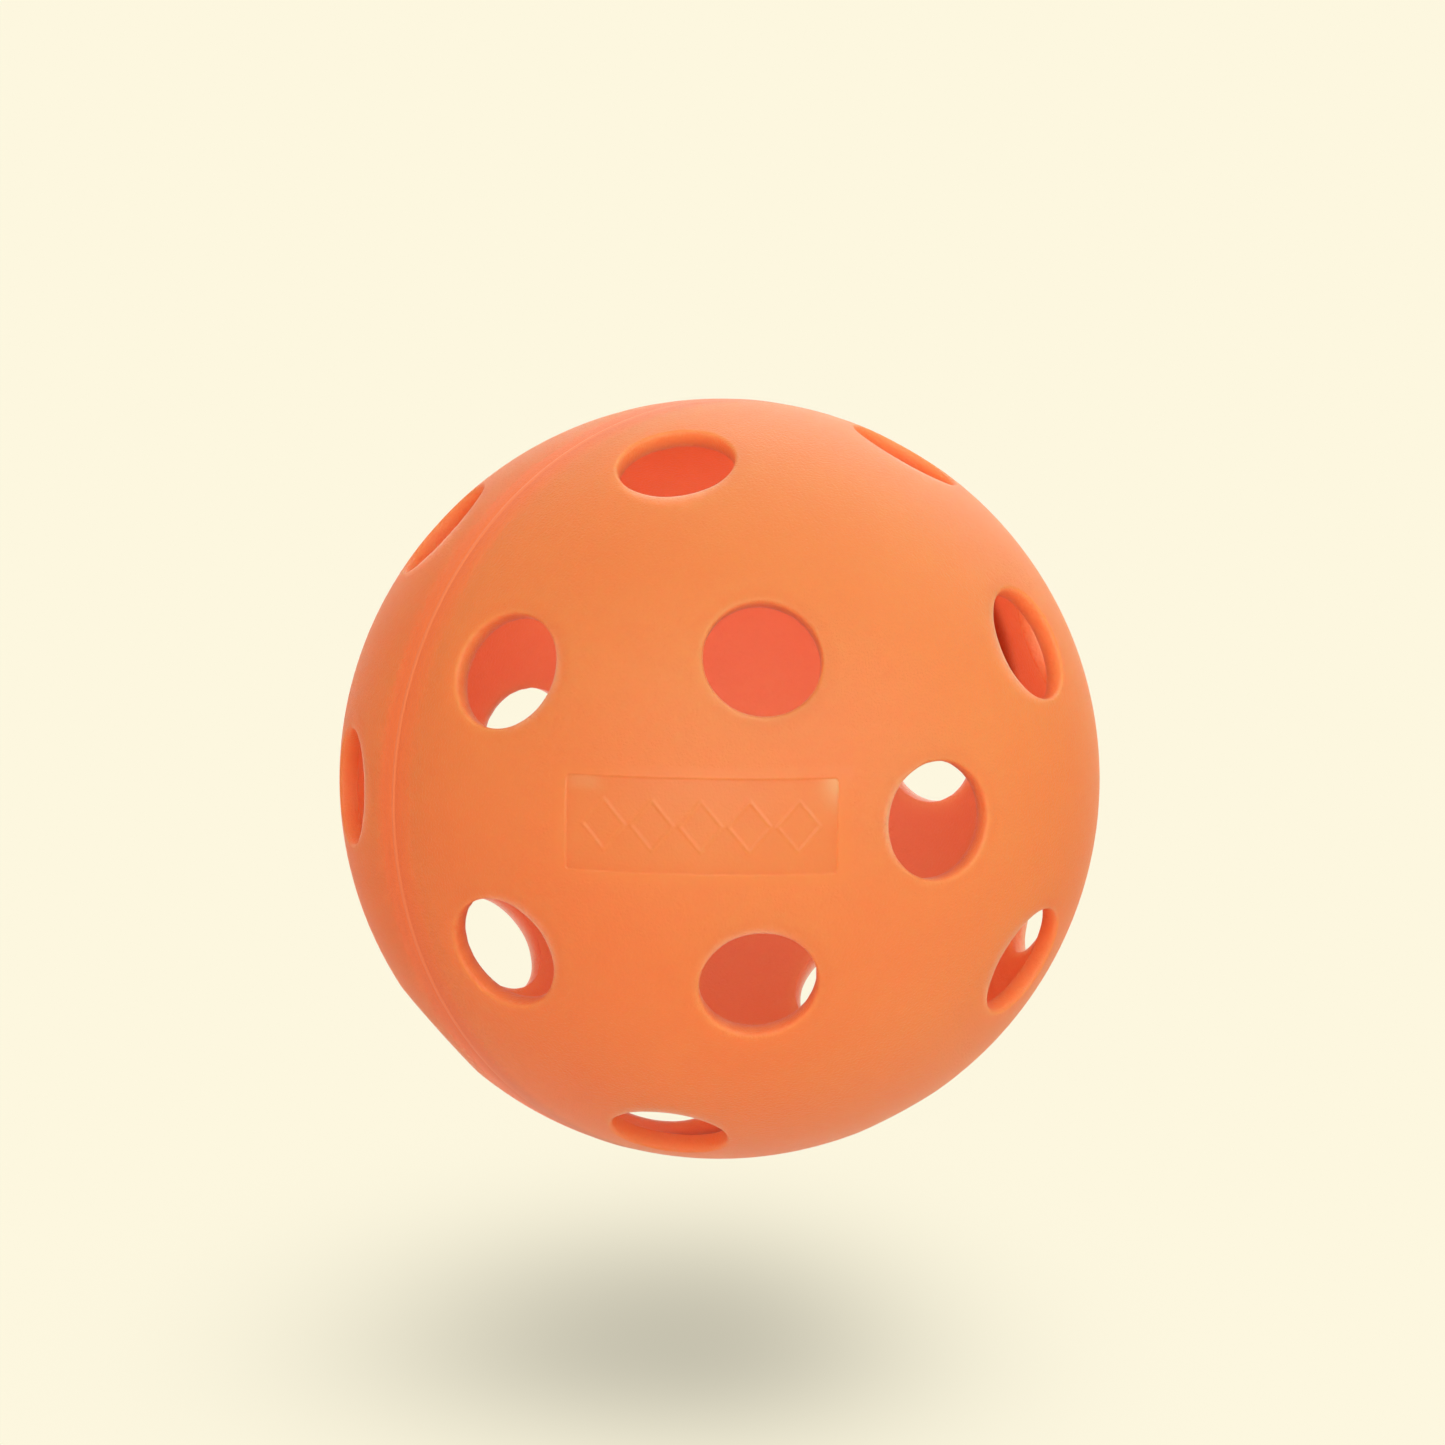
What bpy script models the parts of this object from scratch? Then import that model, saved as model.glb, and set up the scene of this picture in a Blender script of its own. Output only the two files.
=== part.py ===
"""Perforated hollow ball for pickleball, in metres, +Z up.

The ball is two identical injection moulded half shells, butted rim to rim and welded. Each half
has one hole at its pole, a ring of four and a ring of eight, so the ball has 26. The rear half is
the same moulding as the front one, turned over and clocked so that its holes fall between those of
the front half. The front half also carries a shallow rectangular panel.

Frame: the origin is the ball's centre. The moulding axis runs along Y, through both pole holes,
with the front half towards -Y. The weld lies in the XZ plane. The panel's long side is level.
"""

import math

import bpy
from mathutils import Matrix, Vector

MM = 0.001

# The ball
BALL_DIAMETER = 73.7 * MM
WALL = 1.75 * MM
RADIUS = BALL_DIAMETER / 2

# The holes, by colatitude from the half shell's own pole. The pole hole itself is turned, and the
# others are drilled square to the surface.
HOLE_DIAMETER = 11.0 * MM
RING_OF_FOUR = 36.0
RING_OF_EIGHT = 71.2
RING_CLOCKING = 22.5  # between a hole of the ring of eight and the next of the ring of four
FRONT_CLOCKING = 22.5  # turn of the front half about the moulding axis
REAR_CLOCKING = 45.0  # turn of the rear half, which staggers the two rings of eight

# The weld between the rims: a ring of set plastic, a hair proud outside and a low bead inside
WELD_WIDTH = 0.6 * MM
WELD_PROUD = 0.05 * MM
WELD_INNER_BEAD = 0.4 * MM
JOINT_GAP = 0.3 * MM

# The panel on the front half: its centre lies level with the ball's centre, midway between two
# holes of the ring of four, and its floor is concentric with the ball
PANEL_LENGTH = 25.0 * MM
PANEL_HEIGHT = 8.8 * MM
PANEL_DEPTH = 0.2 * MM
PANEL_COLATITUDE = 36.5

# How finely the round surfaces are faceted
TURN_STEPS = 48
ARC_STEPS = 11
HOLE_SIDES = 24

RIM = WELD_WIDTH / 2 + JOINT_GAP  # half the distance between the two half shells


def clear_scene():
    for ob in list(bpy.data.objects):
        bpy.data.objects.remove(ob, do_unlink=True)
    for group in list(bpy.data.collections):
        bpy.data.collections.remove(group)


def new_collection(name):
    group = bpy.data.collections.new(name)
    bpy.context.scene.collection.children.link(group)
    return group


def plastic(name, colour, roughness):
    mat = bpy.data.materials.new(name)
    mat.use_nodes = True
    shader = mat.node_tree.nodes["Principled BSDF"]
    shader.inputs["Base Color"].default_value = (*colour, 1.0)
    shader.inputs["Roughness"].default_value = roughness
    shader.inputs["Metallic"].default_value = 0.0
    return mat


def turned(name, profile, group, steps=TURN_STEPS):
    """A closed profile of (radius, height) points, turned about the object's own Z."""
    mesh = bpy.data.meshes.new(name)
    count = len(profile)
    mesh.from_pydata(
        [(r, 0.0, z) for r, z in profile],
        [(i, (i + 1) % count) for i in range(count)],
        [],
    )
    ob = bpy.data.objects.new(name, mesh)
    group.objects.link(ob)
    screw = ob.modifiers.new("turn", "SCREW")
    screw.axis = "Z"
    screw.angle = 2 * math.pi
    screw.steps = screw.render_steps = steps
    screw.use_merge_vertices = True
    screw.merge_threshold = 0.00001
    screw.use_smooth_shade = True
    return ob


def shell_profile(radius, wall, hole_radius, rim):
    """A half shell's section: down the outside from the pole hole to the rim, and back up inside."""
    inner = radius - wall

    def arc(r, down):
        top = math.asin(hole_radius / r)
        foot = math.acos(rim / r)
        steps = [top + (foot - top) * i / ARC_STEPS for i in range(ARC_STEPS + 1)]
        return [
            (r * math.sin(a), r * math.cos(a)) for a in (steps if down else steps[::-1])
        ]

    return arc(radius, True) + arc(inner, False)


def as_guide(ob):
    ob.hide_render = True
    ob.display_type = "WIRE"


def drill(name, direction, group, parent):
    """A cutter for one hole, along a direction from the ball's centre."""
    bpy.ops.mesh.primitive_cylinder_add(
        vertices=HOLE_SIDES, radius=HOLE_DIAMETER / 2, depth=12 * MM
    )
    ob = bpy.context.object
    ob.name = ob.data.name = name
    for other in list(ob.users_collection):
        other.objects.unlink(ob)
    group.objects.link(ob)
    ob.parent = parent
    # square to the surface, with a flat and not a corner towards the pole
    across = Vector((0, 0, 1)).cross(direction).normalized()
    along = across.cross(direction)
    turn = Matrix((along, across, direction)).transposed()
    turn = turn @ Matrix.Rotation(math.pi / HOLE_SIDES, 3, "Z")
    ob.location = direction * (RADIUS - WALL / 2)
    ob.rotation_euler = turn.to_euler()
    as_guide(ob)
    return ob


def hole_directions():
    """The drilled holes' directions in the moulding's own frame, whose pole is +Z."""
    found = []
    for colatitude, count, first in (
        (RING_OF_FOUR, 4, -RING_CLOCKING),
        (RING_OF_EIGHT, 8, 0.0),
    ):
        c = math.radians(colatitude)
        for k in range(count):
            a = math.radians(first + 360 / count * k)
            found.append(
                Vector(
                    (math.sin(c) * math.cos(a), math.sin(c) * math.sin(a), math.cos(c))
                )
            )
    return found


def half_shell(name, tilt, clocking, parts, cutters, material):
    ob = turned(name, shell_profile(RADIUS, WALL, HOLE_DIAMETER / 2, RIM), parts)
    ob.data.materials.append(material)
    ob.rotation_euler = (math.radians(tilt), math.radians(clocking), 0)
    holes = bpy.data.collections.new(name + "_drills")
    cutters.children.link(holes)
    for n, direction in enumerate(hole_directions()):
        drill(f"{name}_drill_{n + 1:02d}", direction, holes, ob)
    cut = ob.modifiers.new("holes", "BOOLEAN")
    cut.operation = "DIFFERENCE"
    cut.operand_type = "COLLECTION"
    cut.collection = holes
    cut.solver = "EXACT"
    return ob


def panel_cutter(shell, cutters):
    """A block whose underside is a sphere concentric with the ball, for the recessed panel."""
    c = math.radians(PANEL_COLATITUDE)
    out = Vector((-math.sin(c), -math.cos(c), 0))
    along = Vector((math.cos(c), -math.sin(c), 0))
    up = along.cross(out).normalized()
    if up.z < 0:
        along, up = -along, -up
    bpy.ops.mesh.primitive_cube_add(size=1)
    block = bpy.context.object
    block.name = block.data.name = "panel_cutter"
    for other in list(block.users_collection):
        other.objects.unlink(block)
    cutters.objects.link(block)
    depth = 8 * MM
    block.data.transform(Matrix.Diagonal((PANEL_LENGTH, PANEL_HEIGHT, depth, 1)))
    block.matrix_world = Matrix.Translation(out * RADIUS) @ (
        Matrix((along, up, out)).transposed().to_4x4()
    )
    floor = RADIUS - PANEL_DEPTH
    outer = shell_profile(floor, WALL, HOLE_DIAMETER / 2 * 0.6, RIM)[: ARC_STEPS + 1]
    core = turned(
        "panel_core",
        outer + [(outer[-1][0], 0.0), (1 * MM, 0.0), (1 * MM, outer[0][1])],
        cutters,
    )
    core.rotation_euler = shell.rotation_euler
    as_guide(core)
    hollow = block.modifiers.new("floor", "BOOLEAN")
    hollow.operation = "DIFFERENCE"
    hollow.object = core
    hollow.solver = "EXACT"
    as_guide(block)
    cut = shell.modifiers.new("panel", "BOOLEAN")
    cut.operation = "DIFFERENCE"
    cut.object = block
    cut.solver = "EXACT"
    return block


def weld_bead(parts, material):
    """The ring between the rims, as a section turned about the moulding axis."""
    half, edge = WELD_WIDTH / 2, 0.15 * MM
    inner = RADIUS - WALL
    ob = turned(
        "weld_bead",
        [
            (RADIUS + WELD_PROUD, half - edge),
            (RADIUS + WELD_PROUD, -half + edge),
            (RADIUS - edge, -half),
            (inner, -half),
            (inner - WELD_INNER_BEAD, -half + edge),
            (inner - WELD_INNER_BEAD, half - edge),
            (inner, half),
            (RADIUS - edge, half),
        ],
        parts,
    )
    ob.data.materials.append(material)
    ob.rotation_euler = (math.radians(90), math.radians(FRONT_CLOCKING), 0)
    return ob


def main():
    clear_scene()
    parts = new_collection("pickleball")
    cutters = new_collection("cutters")
    orange = (0.90, 0.25, 0.065)
    front = half_shell(
        "front_half_shell",
        90,
        FRONT_CLOCKING,
        parts,
        cutters,
        plastic("front_orange", orange, 0.45),
    )
    half_shell(
        "rear_half_shell",
        -90,
        REAR_CLOCKING,
        parts,
        cutters,
        plastic("rear_orange", orange, 0.45),
    )
    weld_bead(parts, plastic("weld_orange", (0.92, 0.33, 0.12), 0.35))
    bpy.context.view_layer.update()
    panel_cutter(front, cutters)
    bpy.context.view_layer.update()


main()
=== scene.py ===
"""The looks of the perforated pickleball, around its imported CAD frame. Metres, +Z up."""

import math

import bmesh
import bpy
import numpy as np
from mathutils import Matrix, Vector
from mathutils.geometry import delaunay_2d_cdt


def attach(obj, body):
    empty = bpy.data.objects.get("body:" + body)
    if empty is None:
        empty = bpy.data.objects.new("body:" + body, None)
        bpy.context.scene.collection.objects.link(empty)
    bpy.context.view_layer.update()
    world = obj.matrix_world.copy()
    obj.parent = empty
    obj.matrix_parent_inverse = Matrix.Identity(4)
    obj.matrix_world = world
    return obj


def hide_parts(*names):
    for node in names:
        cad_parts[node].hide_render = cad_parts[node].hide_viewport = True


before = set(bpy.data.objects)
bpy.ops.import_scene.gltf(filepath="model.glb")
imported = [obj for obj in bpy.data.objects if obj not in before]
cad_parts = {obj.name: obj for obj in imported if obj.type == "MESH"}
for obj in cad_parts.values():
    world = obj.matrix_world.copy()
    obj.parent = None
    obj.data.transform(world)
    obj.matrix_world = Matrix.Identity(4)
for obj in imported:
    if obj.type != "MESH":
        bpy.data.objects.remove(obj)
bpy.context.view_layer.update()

# --- The ball's design, in millimetres, as the CAD has it -------------------------------------
R = 36.85
WALL = 1.75
RI = R - WALL
HOLE_R = 5.5
RING4 = math.radians(36.0)
RING8 = math.radians(71.2)
CLOCK4 = math.radians(-22.5)
PANEL_COLAT = math.radians(36.5)
PANEL_L, PANEL_H, PANEL_DEPTH = 25.0, 8.8, 0.17
LIP = 0.38  # rounding of the holes' outer edge
INNER_LIP = 0.14
RIM_AT = 0.26  # each half shell's rim, from the weld plane
RIM_ROUND = 0.05
PATCH = math.radians(12.0)  # each hole's turned patch reaches this far from the hole's axis
AROUND = 96
RIM_STEPS = 360

# moulding frame (pole +Z) to the ball's frame, for each half
FRONT = Matrix.Rotation(math.radians(22.5), 3, "Y") @ Matrix.Rotation(
    math.radians(90), 3, "X"
)
REAR = Matrix.Rotation(math.radians(45), 3, "Y") @ Matrix.Rotation(
    math.radians(-90), 3, "X"
)


def direction(colat, azimuth):
    return np.array(
        [
            math.sin(colat) * math.cos(azimuth),
            math.sin(colat) * math.sin(azimuth),
            math.cos(colat),
        ]
    )


def hole_axes():
    axes = [direction(0, 0)]
    axes += [direction(RING4, CLOCK4 + math.pi / 2 * k) for k in range(4)]
    axes += [direction(RING8, math.pi / 4 * k) for k in range(8)]
    return axes


def across(d):
    """Two unit directions square to d."""
    u = np.cross([0.0, 0.0, 1.0], d)
    if np.linalg.norm(u) < 1e-6:
        u = np.array([1.0, 0.0, 0.0])
    u /= np.linalg.norm(u)
    return u, np.cross(d, u)


def wobble(seed, count, terms=9, first=2):
    """A smooth closed curve of small ups and downs, about -1 to 1, from seeded sines."""
    rng = np.random.default_rng(seed)
    t = np.arange(count) * 2 * math.pi / count
    total = np.zeros(count)
    for k in range(terms):
        n = first + k * 2 + rng.integers(0, 2)
        total += rng.normal() / math.sqrt(k + 1.5) * np.sin(n * t + rng.uniform(0, 6.28))
    return total / max(1e-9, np.abs(total).max())


def hole_rings(lip, inner_lip, edge):
    """The section of a hole's patch as (distance from the axis, height along it) points, from the
    outer skin over the lip, down the wall and out along the inner skin. lip, inner_lip and edge
    are arrays over the turn; the result is a list of (rho, z) array pairs."""
    rings = []
    ones = np.ones(AROUND)
    # outer fillet: tangent to the sphere and to the hole's wall
    rc = HOLE_R + lip
    zc = np.sqrt((R - lip) ** 2 - rc**2)
    start = np.arctan2(rc, zc)  # the angle from the axis at which the skin ends
    for s in np.linspace(0, 1, 7)[:-1]:
        a = PATCH * ones * (1 - s) + start * s
        rings.append((R * np.sin(a), R * np.cos(a)))
    steps = 9
    for i in range(steps + 1):
        # from the skin's normal round to the wall's, which points at the axis
        turn = start * (1 - i / steps) + (-math.pi / 2) * (i / steps)
        rings.append((rc + lip * np.sin(turn), zc + lip * np.cos(turn)))
    # inner fillet
    ri = HOLE_R + inner_lip + edge
    zi = np.sqrt((RI + inner_lip) ** 2 - ri**2)
    foot = np.arctan2(ri, zi)
    for i in range(1, 3):
        s = i / 3
        rings.append((HOLE_R * (1 - s) + (ri - inner_lip) * s, zc * (1 - s) + zi * s))
    for i in range(9):
        turn = -(math.pi / 2 + (math.pi / 2 - foot) * (i / 8))
        rings.append((ri + inner_lip * np.sin(turn), zi + inner_lip * np.cos(turn)))
    for s in np.linspace(0, 1, 6)[1:]:
        a = foot * (1 - s) + PATCH * ones * s
        rings.append((RI * np.sin(a), RI * np.cos(a)))
    return rings


class Builder:
    """Collects points and faces, all in millimetres in the moulding frame."""

    def __init__(self):
        self.points, self.faces, self.tags = [], [], []

    def add(self, points, faces, tag=0):
        base = len(self.points)
        self.points.extend(map(tuple, points))
        self.faces.extend([tuple(base + i for i in f) for f in faces])
        self.tags.extend([tag] * len(faces))

    def grid(self, rows, closed, flip=False, tag=0):
        """Quads between successive rows of points."""
        rows = [np.asarray(r) for r in rows]
        n = len(rows[0])
        points = np.concatenate(rows)
        faces = []
        for r in range(len(rows) - 1):
            for i in range(n if closed else n - 1):
                j = (i + 1) % n
                f = (r * n + i, r * n + j, (r + 1) * n + j, (r + 1) * n + i)
                faces.append(f[::-1] if flip else f)
        self.add(points, faces, tag)


def flat(p):
    """Stereographic map of directions, from the pole opposite the moulding's own."""
    return np.stack([p[..., 0], p[..., 1]], -1) / (1 + p[..., 2:3])


def skin(build, radius, spacing, loops, keep_out, outward):
    """Fills a sphere between closed loops of points with even triangles."""
    count = int(4 * math.pi * radius**2 / spacing**2)
    i = np.arange(count) + 0.5
    z = 1 - 2 * i / count
    phi = i * math.pi * (3 - math.sqrt(5))
    rho = np.sqrt(1 - z * z)
    fill = np.stack([rho * np.cos(phi), rho * np.sin(phi), z], -1)
    near = spacing * 0.55 / radius
    fill = fill[(fill[:, 2] > math.sin(near) + (RIM_AT + RIM_ROUND) / radius)]
    for axis in hole_axes():
        fill = fill[fill @ axis < math.cos(PATCH + near)]
    if keep_out is not None:
        fill = fill[~keep_out(fill * radius, near * radius)]
    solid = [np.asarray(loop) for loop in loops]
    points = np.concatenate([*solid, fill * radius])
    edges, base = [], 0
    for loop in solid:
        n = len(loop)
        edges += [(base + k, base + (k + 1) % n) for k in range(n)]
        base += n
    plane = flat(points / np.linalg.norm(points, axis=1, keepdims=True))
    made = delaunay_2d_cdt([Vector(p) for p in plane], edges, [], 0, 1e-7)
    origin = [o[0] if o else -1 for o in made[3]]
    if min(origin) < 0:
        raise RuntimeError("the skin's loops cross")
    faces = []
    rim_z = solid[0][:, 2].mean()
    for f in made[2]:
        g = [origin[v] for v in f]
        c = points[g].mean(0)
        d = c / np.linalg.norm(c)
        if all(v < len(solid[0]) for v in g) and c[2] <= rim_z + 1e-6:
            continue
        if any(
            d @ axis > math.cos(PATCH) and all(v < base for v in g)
            for axis in hole_axes()
        ):
            continue
        if keep_out is not None and all(v < base for v in g):
            if keep_out(c[None] * (radius / np.linalg.norm(c)), -1e-3)[0]:
                continue
        a, b, e = points[g[0]], points[g[1]], points[g[2]]
        up = np.cross(b - a, e - a) @ c
        faces.append(tuple(g) if (up > 0) == outward else tuple(g[::-1]))
    build.add(points, faces)


# --- The recessed panel, with a plain raised pattern ------------------------------------------


def box_edge(x, y, half_x, half_y, corner):
    """Signed distance to a rectangle with rounded corners, negative inside."""
    qx, qy = np.abs(x) - half_x + corner, np.abs(y) - half_y + corner
    outside = np.hypot(np.maximum(qx, 0), np.maximum(qy, 0))
    return outside + np.minimum(np.maximum(qx, qy), 0) - corner


def stroke(dist, width, soft=0.11):
    """1 on a line of that width, easing to 0."""
    t = np.clip((np.abs(dist) - width / 2) / soft, 0, 1)
    return 1 - t * t * (3 - 2 * t)


def segment(x, y, x0, y0, x1, y1):
    dx, dy = x1 - x0, y1 - y0
    t = np.clip(((x - x0) * dx + (y - y0) * dy) / (dx * dx + dy * dy), 0, 1)
    return np.hypot(x - x0 - t * dx, y - y0 - t * dy)


def pattern(x, y):
    """A plain ornament, the same from end to end: a row of five lozenges, 0 to 1."""
    h = np.zeros_like(x)
    for k in range(-2, 3):
        mx, hx, hy = 4.5 * k, 1.95, 2.35
        for sx in (-1, 1):
            for sy in (-1, 1):
                h = np.maximum(
                    h, stroke(segment(x, y, mx + sx * hx, 0, mx, sy * hy), 0.20)
                )
    return h


def panel_frame():
    """The panel's directions in the moulding frame: along it, up it and out of the ball."""
    c = PANEL_COLAT
    to_mould = np.array(FRONT.transposed())
    out = to_mould @ np.array([-math.sin(c), -math.cos(c), 0.0])
    along = to_mould @ np.array([math.cos(c), -math.sin(c), 0.0])
    up = to_mould @ np.array([0.0, 0.0, 1.0])
    return along, up, out


def ruled(half, edge, fine, coarse):
    """Lines from -half to half, fine near the edge and coarse elsewhere."""
    inner = np.arange(0, edge - 0.45, coarse)
    band = np.arange(edge - 0.4, edge + 0.41, fine)
    outer = np.linspace(edge + 0.5, half, 5)
    right = np.concatenate([inner[1:], band, outer])
    return np.concatenate([-right[::-1], [0.0], right])


PANEL_REACH = (PANEL_L / 2 + 1.3, PANEL_H / 2 + 1.0)


def panel_patch(build):
    along, up, out = panel_frame()
    xs = ruled(PANEL_REACH[0], PANEL_L / 2, 0.05, 0.1)
    ys = ruled(PANEL_REACH[1], PANEL_H / 2, 0.05, 0.1)
    x, y = np.meshgrid(xs, ys)
    d = box_edge(x, y, PANEL_L / 2, PANEL_H / 2, 0.35)
    t = np.clip((d + 0.07) / 0.14, 0, 1)
    down = 1 - t * t * (3 - 2 * t)
    r = R - PANEL_DEPTH * down + 0.085 * pattern(x, y) * down
    n = np.sqrt(R * R - x * x - y * y)
    base = x[..., None] * along + y[..., None] * up + n[..., None] * out
    points = base / R * r[..., None]
    build.grid(list(points), False, tag=1)
    edge = np.concatenate([base[0, :-1], base[:-1, -1], base[-1, :0:-1], base[:0:-1, 0]])
    return edge


def near_panel(points, margin):
    along, up, out = panel_frame()
    return (
        (np.abs(points @ along) < PANEL_REACH[0] + margin)
        & (np.abs(points @ up) < PANEL_REACH[1] + margin)
        & (points @ out > 0)
    )


# --- The half shells and the weld -------------------------------------------------------------


def lip_shade(points):
    """How near a point of the outer skin is to a hole's lip, the mask for the painted shade there: 1
    at its edge, 0 from 2 mm out.
    """
    length = np.linalg.norm(points, axis=1)
    axis = np.max((points / length[:, None]) @ np.array(hole_axes()).T, axis=1)
    rho = length * np.sqrt(np.maximum(0, 1 - axis**2))
    t = np.clip((7.5 - rho) / 1.3, 0, 1) * np.clip((length - R + 0.5) / 0.4, 0, 1)
    return t * t * (3 - 2 * t)


def wall_shade(points):
    """1 on the cut wall of a hole and 0 on the skins; the mask for the painted shade on the walls."""
    length = np.linalg.norm(points, axis=1)
    axis = np.max((points / length[:, None]) @ np.array(hole_axes()).T, axis=1)
    rho = length * np.sqrt(np.maximum(0, 1 - axis**2))
    return np.clip((HOLE_R + 0.2 - rho) / 0.15, 0, 1)


def pale_corners(points, name):
    """A painted highlight on the panel's upper corners: 1 at its palest."""
    if name != "front_shell":
        return np.zeros(len(points))
    along, up, out = panel_frame()
    x, y, z = points @ along, points @ up, points @ out
    right = 0.80 * np.exp(-(((x - 12.5) / 1.3) ** 2) - ((y - 4.3) / 2.2) ** 2)
    left = 0.26 * np.exp(-(((x + 10.8) / 1.6) ** 4) - ((y - 4.2) / 1.1) ** 4)
    inside = (box_edge(x, y, PANEL_L / 2, PANEL_H / 2, 0.35) < -0.02) & (z > 0)
    return (right + left) * inside


def make_object(name, build, turn, material):
    mesh = bpy.data.meshes.new(name)
    points = (np.asarray(build.points) @ np.array(turn).T) * 0.001
    mesh.from_pydata(points.tolist(), [], build.faces)
    tag = mesh.attributes.new("panel", "FLOAT", "FACE")
    tag.data.foreach_set("value", [float(t) for t in build.tags])
    # mask for the painted shade at the holes' lips
    lip = mesh.attributes.new("lip", "FLOAT", "POINT")
    lip.data.foreach_set("value", lip_shade(np.asarray(build.points)))
    # mask for the painted shade on the holes' cut walls
    wall = mesh.attributes.new("wall", "FLOAT", "POINT")
    wall.data.foreach_set("value", wall_shade(np.asarray(build.points)))
    # mask for the painted highlight on the panel's upper corners
    pale = mesh.attributes.new("pale", "FLOAT", "POINT")
    pale.data.foreach_set("value", pale_corners(np.asarray(build.points), name))
    bm = bmesh.new()
    bm.from_mesh(mesh)
    bmesh.ops.remove_doubles(bm, verts=bm.verts, dist=2e-7)
    open_edges = sum(1 for e in bm.edges if len(e.link_faces) != 2)
    if open_edges:
        print("OPEN EDGES", name, open_edges)
    bm.to_mesh(mesh)
    bm.free()
    mesh.shade_smooth()
    mesh.materials.append(material)
    ob = bpy.data.objects.new(name, mesh)
    bpy.context.scene.collection.objects.link(ob)
    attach(ob, "root")
    return ob


def half_shell(name, turn, seed, with_panel, material):
    build = Builder()
    t = np.arange(AROUND) * 2 * math.pi / AROUND
    outer_loops, inner_loops = [], []
    for n, axis in enumerate(hole_axes()):
        u, v = across(axis)
        lip = LIP * (1 + 0.10 * wobble(seed * 100 + n, AROUND, 6))
        inner = INNER_LIP * (1 + 0.25 * wobble(seed * 200 + n, AROUND, 12, 5))
        edge = 0.035 * wobble(seed * 300 + n, AROUND, 14, 3)
        rows = []
        for rho, z in hole_rings(lip, inner, edge):
            rows.append(
                (rho * np.cos(t))[:, None] * u
                + (rho * np.sin(t))[:, None] * v
                + z[:, None] * axis
            )
        build.grid(rows, True, flip=False)
        outer_loops.append(rows[0])
        inner_loops.append(rows[-1])
    # the rim: over its rounded outer edge, across, and round the inner edge
    p = np.arange(RIM_STEPS) * 2 * math.pi / RIM_STEPS
    z0 = RIM_AT
    top = z0 + RIM_ROUND
    ro, ri = math.sqrt(R * R - top * top), math.sqrt(RI * RI - top * top)
    section = [(ro, top)]
    for i in range(1, 4):
        a = math.pi / 2 * i / 3
        section.append(
            (ro - RIM_ROUND * (1 - math.cos(a)), top - RIM_ROUND * math.sin(a))
        )
    section.append(((ro + ri) / 2, z0))
    for i in range(3, 0, -1):
        a = math.pi / 2 * i / 3
        section.append(
            (ri + RIM_ROUND * (1 - math.cos(a)), top - RIM_ROUND * math.sin(a))
        )
    section.append((ri, top))
    rows = [
        np.stack([r * np.cos(p), r * np.sin(p), np.full(RIM_STEPS, z)], -1)
        for r, z in section
    ]
    build.grid(rows, True, flip=True)
    outer = [rows[0], *outer_loops]
    keep = None
    if with_panel:
        outer.append(panel_patch(build))
        keep = near_panel
    skin(build, R, 1.0, outer, keep, True)
    skin(build, RI, 1.5, [rows[-1], *inner_loops], None, False)
    return make_object(name, build, turn, material)


def weld(name, material):
    """The set bead: a faint uneven ridge outside, flush with the rims that it joins, and a fuller
    roll inside."""
    build = Builder()
    n = 1440
    p = np.arange(n) * 2 * math.pi / n
    half = RIM_AT + 0.10
    crown = 0.026 + 0.012 * wobble(11, n, 40, 5)
    width = 0.155 * (1 + 0.25 * wobble(12, n, 40, 9))
    drift = 0.05 * wobble(13, n, 30, 3)
    step = 0.006 * wobble(15, n, 12, 2)  # one half sits a hair above the other
    inner = 0.30 + 0.05 * wobble(14, n, 25, 4)
    rows = []

    def row(r, z):
        rows.append(np.stack([r * np.cos(p), r * np.sin(p), z + 0 * p], -1))

    row(R - 0.10 + 0 * p, -half - 0.02 + 0 * p)
    row(R - 0.012 + 0 * p, -half + 0 * p)
    row(R + 0.001 - step, -half + 0.09 + 0 * p)
    for i in range(9):
        s = -1 + 2 * i / 8
        row(R + 0.002 + step * s + crown * (1 - s * s) ** 1.5, width * s + drift)
    row(R + 0.001 + step, half - 0.09 + 0 * p)
    row(R - 0.012 + 0 * p, half + 0 * p)
    row(R - 0.10 + 0 * p, half + 0.02 + 0 * p)
    row(RI + 0.04 + 0 * p, half + 0 * p)
    for i in range(1, 8):
        a = math.pi * i / 8
        row(RI + 0.04 - inner * np.sin(a), (half + 0.12 * math.sin(a)) * math.cos(a) + 0 * p)
    row(RI + 0.04 + 0 * p, -half + 0 * p)
    rows.append(rows[0])
    build.grid(rows, True, flip=False)
    return make_object(name, build, FRONT, material)


# --- Materials ---------------------------------------------------------------------------------


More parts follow.
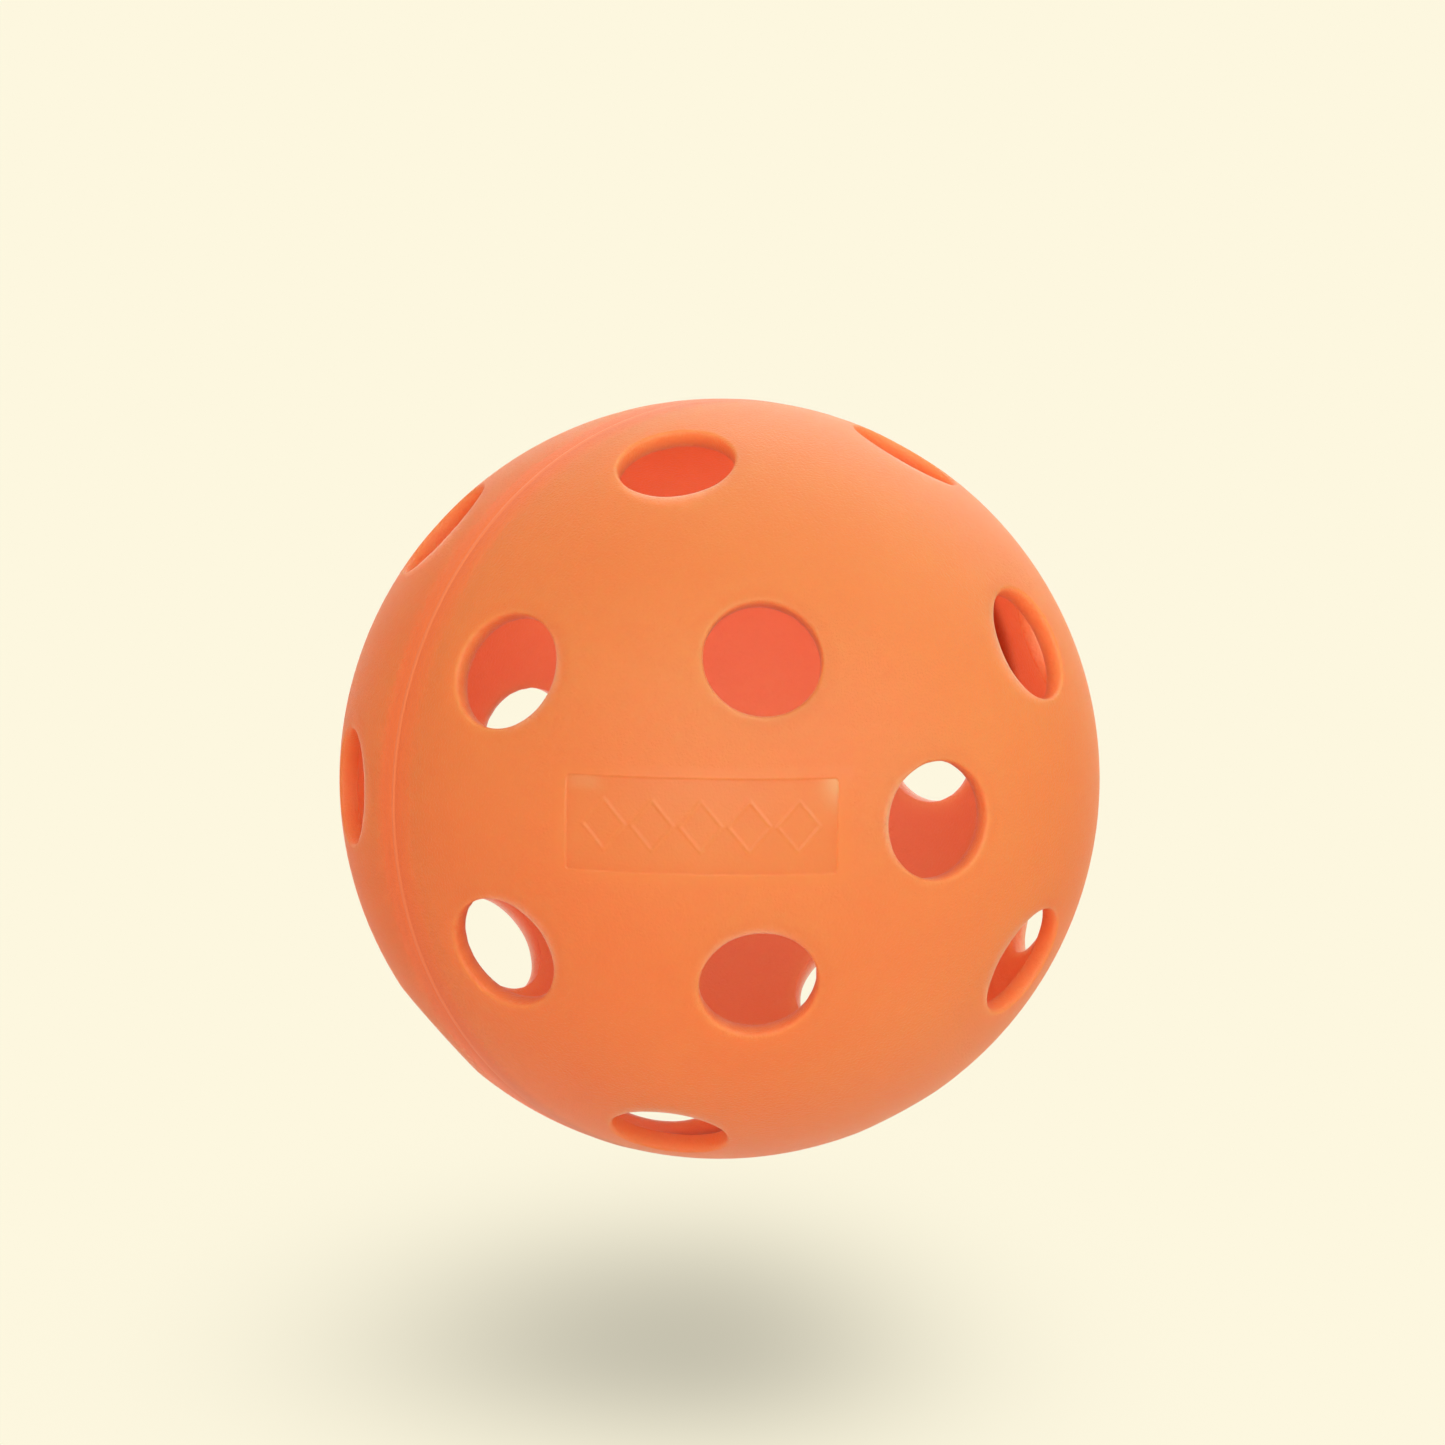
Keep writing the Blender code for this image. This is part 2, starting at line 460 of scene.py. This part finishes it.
class Nodes:
    def __init__(self, name):
        self.mat = bpy.data.materials.new(name)
        self.mat.use_nodes = True
        self.tree = self.mat.node_tree
        self.shader = self.tree.nodes["Principled BSDF"]

    def node(self, kind, **values):
        n = self.tree.nodes.new(kind)
        for key, value in values.items():
            if key in n.bl_rna.properties:
                setattr(n, key, value)
            else:
                n.inputs[key.replace("_", " ")].default_value = value
        return n

    def link(self, a, b):
        self.tree.links.new(a, b)

    def noise(self, coords, scale, detail=2.0, rough=0.5):
        n = self.node("ShaderNodeTexNoise")
        n.inputs["Scale"].default_value = scale
        n.inputs["Detail"].default_value = detail
        n.inputs["Roughness"].default_value = rough
        self.link(coords, n.inputs["Vector"])
        return n.outputs["Fac"]

    def math(self, op, a, b=None):
        n = self.node("ShaderNodeMath", operation=op)
        for i, x in enumerate((a, b)):
            if x is None:
                continue
            if isinstance(x, (int, float)):
                n.inputs[i].default_value = x
            else:
                self.link(x, n.inputs[i])
        return n.outputs[0]

    def span(self, x, lo, hi, from_lo=0.0, from_hi=1.0):
        n = self.node("ShaderNodeMapRange")
        for key, value in (
            ("From Min", from_lo),
            ("From Max", from_hi),
            ("To Min", lo),
            ("To Max", hi),
        ):
            n.inputs[key].default_value = value
        self.link(x, n.inputs["Value"])
        return n.outputs["Result"]

    def tint(self, fac, colour, by):
        """The colour, multiplied by another as fac goes to 1."""
        n = self.node("ShaderNodeMix", data_type="RGBA", blend_type="MULTIPLY")
        self.link(fac, n.inputs[0])
        self.link(colour, n.inputs[6])
        n.inputs[7].default_value = (*by, 1)
        n.clamp_result = False
        return n.outputs[2]

    def toward(self, fac, colour, other):
        n = self.node("ShaderNodeMix", data_type="RGBA")
        self.link(fac, n.inputs[0])
        self.link(colour, n.inputs[6])
        n.inputs[7].default_value = (*other, 1)
        return n.outputs[2]

    def blend(self, fac, a, b):
        n = self.node("ShaderNodeMix", data_type="RGBA")
        n.inputs[6].default_value = (*a, 1)
        n.inputs[7].default_value = (*b, 1)
        self.link(fac, n.inputs[0])
        return n.outputs[2]


# painted shade near the holes' lips: green and blue turned down
LIP_TINT = (1.0, 0.90, 0.88)
# painted shade on the holes' cut walls: redder, less green, than the skin
WALL_TINT = (1.0, 0.86, 1.06)


def moulded_plastic(name, light, deep, rough, grain, joint, panel=True):
    """Translucent polyethylene: red light runs far through the thin wall, green and blue less."""
    m = Nodes(name)
    coords = m.node("ShaderNodeTexCoord").outputs["Object"]
    axes = m.node("ShaderNodeSeparateXYZ")
    m.link(coords, axes.inputs[0])
    # near the weld plane subsurface light is switched off, so none passes from one half to the other;
    # the band there gets its own base colour, set so that it renders like the subsurface-lit skin
    # beside it: painted light
    off = m.math("ABSOLUTE", axes.outputs["Y"])
    ramp = m.node("ShaderNodeMapRange", interpolation_type="SMOOTHSTEP")
    ramp.inputs["From Min"].default_value = 0.0008
    ramp.inputs["From Max"].default_value = 0.0036
    m.link(off, ramp.inputs["Value"])
    body = ramp.outputs["Result"]
    # slow flow marks in the colour
    flow = m.noise(coords, 55.0, 3.0, 0.55)
    flow = m.span(flow, 0.0, 1.0, 0.32, 0.68)
    main = m.blend(flow, deep, light)
    if panel:
        # light that comes out at a hole's lip has crossed less plastic; the tint evens it out
        # painted shade: the skin at a hole's lip is made less green and blue, to tone down the
        # brighter light that the lip catches
        lip = m.node("ShaderNodeAttribute", attribute_name="lip").outputs["Fac"]
        main = m.tint(lip, main, LIP_TINT)
        # painted shade: a hole's cut wall is tinted redder, less green, than the skin, as it looks in
        # the light that reaches it
        wall = m.node("ShaderNodeAttribute", attribute_name="wall").outputs["Fac"]
        main = m.tint(wall, main, WALL_TINT)
        # painted highlight: the panel's upper corners are turned toward a pale peach
        pale = m.node("ShaderNodeAttribute", attribute_name="pale").outputs["Fac"]
        main = m.toward(pale, main, (1.0, 0.34, 0.14))
    mix = m.node("ShaderNodeMix", data_type="RGBA")
    mix.inputs[6].default_value = (*joint, 1)
    m.link(body, mix.inputs[0])
    m.link(main, mix.inputs[7])
    m.link(mix.outputs[2], m.shader.inputs["Base Color"])
    if panel:
        m.link(body, m.shader.inputs["Subsurface Weight"])
    # a fine matt grain, smoother on the panel
    fine = m.noise(coords, 4200.0, 2.0, 0.6)
    mid = m.noise(coords, 900.0, 2.0, 0.5)
    slow = m.noise(coords, 120.0, 2.0, 0.5)
    r = m.math("ADD", m.span(mid, -0.03, 0.03), m.span(slow, -0.03, 0.03))
    r = m.math("ADD", r, m.span(fine, rough - 0.03, rough + 0.03))
    height = m.math("ADD", m.math("MULTIPLY", fine, 1.0), m.math("MULTIPLY", mid, 0.3))
    if panel:
        tag = m.node("ShaderNodeAttribute", attribute_name="panel").outputs["Fac"]
        r = m.math("SUBTRACT", r, m.math("MULTIPLY", tag, 0.08))
        height = m.math("MULTIPLY", height, m.span(tag, 1.0, 0.35))
    m.link(r, m.shader.inputs["Roughness"])
    bump = m.node("ShaderNodeBump")
    bump.inputs["Strength"].default_value = 1.0
    bump.inputs["Distance"].default_value = grain
    m.link(height, bump.inputs["Height"])
    m.link(bump.outputs["Normal"], m.shader.inputs["Normal"])
    s = m.shader.inputs
    s["Metallic"].default_value = 0.0
    s["IOR"].default_value = 1.5
    s["Subsurface Radius"].default_value = (1.0, 0.44, 0.42)
    s["Subsurface Scale"].default_value = 0.02
    s["Specular IOR Level"].default_value = 0.22
    return m.mat


# painted light: the base colour of the band by the weld, where subsurface light is off, set so that it
# renders like the lit skin beside it
JOINT = (0.75, 0.168, 0.041)
BEAD = (0.75, 0.200, 0.062)
shell_mat = moulded_plastic(
    "orange_skin", (1.0, 0.193, 0.0450), (0.99, 0.177, 0.0410), 0.40, 0.00010, JOINT
)
weld_mat = moulded_plastic(
    "orange_weld", BEAD, BEAD, 0.34, 0.00003, BEAD, panel=False
)

front = half_shell("front_shell", FRONT, 1, True, shell_mat)
rear = half_shell("rear_shell", REAR, 2, False, shell_mat)
bead = weld("weld_line", weld_mat)
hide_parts("front_half_shell")
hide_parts("rear_half_shell")
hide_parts("weld_bead")

# --- Floor, light and camera -------------------------------------------------------------------

FLOOR_Z = -0.0566  # the ball hangs a little above the floor, as it is pictured
BACKDROP = (0.982, 0.930, 0.738)  # the pale cream of the floor and of all that lies beyond it


def floor_material():
    """A pale floor that glows evenly, with the ball's wide soft shadow painted on it. The floor takes
    no other light, so its cream is the same near and far."""
    m = Nodes("floor_cream_painted_shadow")
    m.tree.nodes.remove(m.shader)
    glow = m.node("ShaderNodeEmission")
    m.link(glow.outputs[0], m.tree.nodes["Material Output"].inputs["Surface"])
    coords = m.node("ShaderNodeTexCoord").outputs["Object"]
    axes = m.node("ShaderNodeSeparateXYZ")
    m.link(coords, axes.inputs[0])
    # how far out in the shadow: 0 at its heart, 1 where it has fallen to a third
    parts = []
    for axis, centre, low, high in (
        ("X", SHADOW[0], SHADOW[2], SHADOW[3]),
        ("Y", SHADOW[1], SHADOW[4], SHADOW[5]),
    ):
        d = m.math("SUBTRACT", axes.outputs[axis], centre)
        below = m.math("DIVIDE", m.math("MINIMUM", d, 0.0), low)
        above = m.math("DIVIDE", m.math("MAXIMUM", d, 0.0), high)
        parts.append(m.math("ADD", m.math("MULTIPLY", below, below), m.math("MULTIPLY", above, above)))
    far = m.math("ADD", *parts)
    far = m.math("MULTIPLY", m.math("POWER", far, 1.1), -1.0)
    shade = m.math("MULTIPLY", m.math("EXPONENT", far), SHADOW_DEPTH)
    m.link(m.blend(shade, BACKDROP, (0.0, 0.0, 0.0)), glow.inputs["Color"])
    return m.mat


def studio_floor():
    """A wide flat floor, whose lit colour runs into the backdrop's without a horizon."""
    count = 64
    points = [(0, 0, 0)]
    for r in (0.3, 1.0, 3.0, 10.0, 60.0):
        for i in range(count):
            a = 2 * math.pi * i / count
            points.append((r * math.cos(a), r * math.sin(a), 0))
    faces = [(0, 1 + i, 1 + (i + 1) % count) for i in range(count)]
    for k in range(4):
        lo, hi = 1 + k * count, 1 + (k + 1) * count
        for i in range(count):
            j = (i + 1) % count
            faces.append((lo + i, hi + i, hi + j, lo + j))
    mesh = bpy.data.meshes.new("studio_floor")
    mesh.from_pydata(points, [], faces)
    mesh.materials.append(floor_material())
    ob = bpy.data.objects.new("studio_floor", mesh)
    bpy.context.scene.collection.objects.link(ob)
    ob.location.z = FLOOR_Z
    ob.rotation_euler.z = math.radians(AZ)  # its X runs along the picture
    ob.visible_diffuse = False
    ob.visible_glossy = False
    ob.visible_shadow = False


# the camera's attitude and distance
RIGHT = Vector((0.8312, -0.5559, 0.0113))
UP = Vector((0.0581, 0.1070, 0.9926))
BACK = Vector((-0.5530, -0.8243, 0.1212))
AZ = math.degrees(math.atan2(BACK.x, -BACK.y))
DISTANCE = 16.19 * 0.03685
FOCAL_PX = 6142.0
PIXELS = 1445
CENTRE_PX = (719.5, 778.6)

cam_data = bpy.data.cameras.new("camera")
cam_data.sensor_width = 36.0
cam_data.lens = FOCAL_PX / PIXELS * 36.0
cam = bpy.data.objects.new("camera", cam_data)
bpy.context.scene.collection.objects.link(cam)
look = Matrix((RIGHT, UP, BACK)).transposed()
aim_x = math.atan((CENTRE_PX[0] - PIXELS / 2) / FOCAL_PX)
aim_y = math.atan((CENTRE_PX[1] - PIXELS / 2) / FOCAL_PX)
look = look @ Matrix.Rotation(aim_x, 3, "Y") @ Matrix.Rotation(aim_y, 3, "X")
cam.matrix_world = Matrix.Translation(BACK * DISTANCE) @ look.to_4x4()
cam_data.clip_start, cam_data.clip_end = 0.01, 50
bpy.context.scene.camera = cam


# the painted shadow on the floor: its centre, its spread each way along X and along Y, and its depth
SHADOW = (-0.0028, 0.003, 0.0315, 0.0238, 0.047, 0.062)
SHADOW_DEPTH = 0.42

SKY = (0.60, 0.595, 0.595)  # the even light from all round
WARM = (1.0, 0.08, 0.08)
NEIGHBOUR = (0.68, 0.38, 0.31)  # what stands behind the ball, left and right: others like it, and gaps
SHEEN = 0.65  # how much of the backdrop's brightness the plastic mirrors
SUNS = (
    # azimuth and elevation from the camera's side, strength, angle across, and colour
    (0, 20, 1.98, 60, None),
    (46, 19, 1.02, 12, None),
    (95, 15, 0.14, 60, None),
    (150, 45, 0.78, 60, None),
    (178, 64, 0.24, 60, None),
    (180, 12, 0.28, 60, None),
    (60, -30, 0.29, 60, None),
    # warm light thrown back by other orange things close by
    (-60, -30, 0.49, 60, WARM),
    (-150, 45, 0.37, 60, WARM),
    (0, -60, 0.38, 60, WARM),
)


def sun(azimuth, elevation, strength, angle, colour):
    """A wide soft light from far off, so that it falls evenly on the floor."""
    data = bpy.data.lights.new("soft_light", "SUN")
    data.energy, data.angle = strength, math.radians(angle)
    if colour:
        data.color = colour
    ob = bpy.data.objects.new("soft_light", data)
    a, e = math.radians(AZ + azimuth), math.radians(elevation)
    back = Vector((math.sin(a) * math.cos(e), -math.cos(a) * math.cos(e), math.sin(e)))
    ob.matrix_world = back.to_track_quat("Z", "Y").to_matrix().to_4x4()
    bpy.context.scene.collection.objects.link(ob)


def studio_world():
    """Even light all round, with two warm patches behind the ball to its left and right, where
    it has others like it for neighbours. The camera sees the backdrop's own colour."""
    world = bpy.data.worlds.new("world")
    bpy.context.scene.world = world
    world.use_nodes = True
    tree = world.node_tree
    lit = tree.nodes["Background"]

    def mix(fac, a, b):
        n = tree.nodes.new("ShaderNodeMix")
        n.data_type = "RGBA"
        tree.links.new(fac, n.inputs[0])
        for socket, x in ((n.inputs[6], a), (n.inputs[7], b)):
            if isinstance(x, tuple):
                socket.default_value = (*x, 1)
            else:
                tree.links.new(x, socket)
        return n.outputs[2]

    path = tree.nodes.new("ShaderNodeLightPath")
    way = tree.nodes.new("ShaderNodeTexCoord").outputs["Generated"]
    patches = []
    for side in (-0.75, 0.75):
        to = (RIGHT * side + UP * 0.06 - BACK * 0.66).normalized()
        dot = tree.nodes.new("ShaderNodeVectorMath")
        dot.operation = "DOT_PRODUCT"
        dot.inputs[1].default_value = to
        tree.links.new(way, dot.inputs[0])
        ramp = tree.nodes.new("ShaderNodeMapRange")
        ramp.interpolation_type = "SMOOTHSTEP"
        ramp.inputs["From Min"].default_value = math.cos(math.radians(42))
        ramp.inputs["From Max"].default_value = math.cos(math.radians(22))
        tree.links.new(dot.outputs["Value"], ramp.inputs["Value"])
        patches.append(ramp.outputs["Result"])
    both = tree.nodes.new("ShaderNodeMath")
    both.operation = "MAXIMUM"
    tree.links.new(patches[0], both.inputs[0])
    tree.links.new(patches[1], both.inputs[1])
    sheen = tree.nodes.new("ShaderNodeMath")
    sheen.operation = "MULTIPLY"
    tree.links.new(path.outputs["Is Glossy Ray"], sheen.inputs[0])
    sheen.inputs[1].default_value = SHEEN
    sky = mix(sheen.outputs[0], SKY, BACKDROP)
    sky = mix(both.outputs[0], sky, NEIGHBOUR)
    tree.links.new(mix(path.outputs["Is Camera Ray"], sky, BACKDROP), lit.inputs["Color"])


for values in SUNS:
    sun(*values)
studio_world()
studio_floor()

bpy.context.scene.view_settings.view_transform = "Standard"
bpy.context.scene.view_settings.look = "None"
